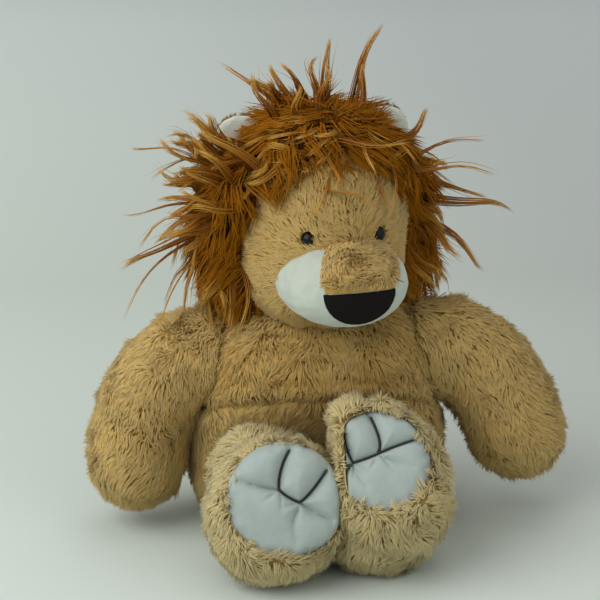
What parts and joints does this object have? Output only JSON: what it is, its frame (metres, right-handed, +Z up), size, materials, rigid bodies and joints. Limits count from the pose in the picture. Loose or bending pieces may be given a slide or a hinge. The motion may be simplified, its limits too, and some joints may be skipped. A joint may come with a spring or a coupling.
{
  "type": "seated plush lion",
  "caption": "Seated plush lion with a shaggy mane, white muzzle, button eyes and quilted soles; head, ears, arms, legs and tail turn on their sewn seams.",
  "frame": {"origin": "centre of the flat seat base, which rests on Z = 0", "axes": "+Z up, the lion looks along -Y, its own left is +X"},
  "size_m": [0.3232, 0.2877, 0.3415],
  "materials": {
    "tan_short_pile": "short pile, matte",
    "pale_tan_short_pile": "short pile, matte",
    "rust_long_pile": "long pile, soft sheen",
    "white_velboa": "short velvet, matte",
    "cool_white_velboa": "short velvet, matte",
    "dark_brown_velboa": "short velvet, matte",
    "black_gloss_plastic": "gloss",
    "black_thread": "matte",
    "white_fibre_filling": "matte, loose fibre",
    "pellet_bag_cloth": "matte"
  },
  "bodies": {
    "torso": {"chest_panel": "tan_short_pile", "belly_panel": "tan_short_pile", "back_panel_right": "tan_short_pile", "back_panel_left": "tan_short_pile", "seat_panel": "tan_short_pile", "belly_hem": "tan_short_pile", "body_filling": "white_fibre_filling", "pellet_bag": "pellet_bag_cloth"},
    "head": {"face_panel": "tan_short_pile", "head_filling": "white_fibre_filling", "muzzle_panel": "white_velboa", "muzzle_filling": "white_fibre_filling", "bridge_panel": "tan_short_pile", "nose": "dark_brown_velboa", "eye_right": "black_gloss_plastic", "eye_left": "black_gloss_plastic", "eye_washer_right": "black_gloss_plastic", "eye_washer_left": "black_gloss_plastic", "mane_crown": "rust_long_pile", "mane_right": "rust_long_pile", "mane_left": "rust_long_pile", "mane_nape": "rust_long_pile"},
    "ear_right": {"ear_front_right": "white_velboa", "ear_back_right": "tan_short_pile"},
    "ear_left": {"ear_front_left": "white_velboa", "ear_back_left": "tan_short_pile"},
    "arm_right": {"arm_cover_right": "tan_short_pile", "arm_filling_right": "white_fibre_filling"},
    "arm_left": {"arm_cover_left": "tan_short_pile", "arm_filling_left": "white_fibre_filling"},
    "leg_right": {"leg_cover_right": "pale_tan_short_pile", "leg_filling_right": "white_fibre_filling", "sole_right": "cool_white_velboa", "toe_thread_right": "black_thread"},
    "leg_left": {"leg_cover_left": "pale_tan_short_pile", "leg_filling_left": "white_fibre_filling", "sole_left": "cool_white_velboa", "toe_thread_left": "black_thread"},
    "tail": {"tail_tube": "tan_short_pile", "tail_tuft": "rust_long_pile"}
  },
  "joints": [
    {"name": "neck_seam_turn", "type": "hinge", "parent": "torso", "child": "head", "pos_m": [0, 0, 0.15], "axis": [0, 0, 1], "range_deg": [-45, 20], "stiffness_Nm_per_rad": 0.35},
    {"name": "ear_right_bend", "type": "hinge", "parent": "head", "child": "ear_right", "pos_m": [-0.04013, 0.00169, 0.25258], "axis": [0.7036, 0.1496, 0.6947], "range_deg": [-20, 20], "stiffness_Nm_per_rad": 0.01},
    {"name": "ear_left_bend", "type": "hinge", "parent": "head", "child": "ear_left", "pos_m": [0.03597, 0.01787, 0.25258], "axis": [0.7036, 0.1496, -0.6947], "range_deg": [-20, 20], "stiffness_Nm_per_rad": 0.01},
    {"name": "shoulder_right_swing", "type": "hinge", "parent": "torso", "child": "arm_right", "pos_m": [-0.07, 0, 0.115], "axis": [-0.9511, 0, 0.309], "range_deg": [-30, 50], "stiffness_Nm_per_rad": 0.25},
    {"name": "shoulder_left_swing", "type": "hinge", "parent": "torso", "child": "arm_left", "pos_m": [0.07, 0, 0.115], "axis": [-0.9511, 0, -0.309], "range_deg": [-30, 50], "stiffness_Nm_per_rad": 0.25},
    {"name": "hip_right_lift", "type": "hinge", "parent": "torso", "child": "leg_right", "pos_m": [-0.0385, -0.046, 0.0462], "axis": [-1, 0, 0], "range_deg": [-30, 20], "stiffness_Nm_per_rad": 0.25},
    {"name": "hip_left_lift", "type": "hinge", "parent": "torso", "child": "leg_left", "pos_m": [0.0385, -0.046, 0.0462], "axis": [-1, 0, 0], "range_deg": [-20, 8], "stiffness_Nm_per_rad": 0.25},
    {"name": "tail_seam_swing", "type": "hinge", "parent": "torso", "child": "tail", "pos_m": [0, 0.05923, 0.024], "axis": [0, 0, 1], "range_deg": [-30, 30], "stiffness_Nm_per_rad": 0.02}
  ]
}
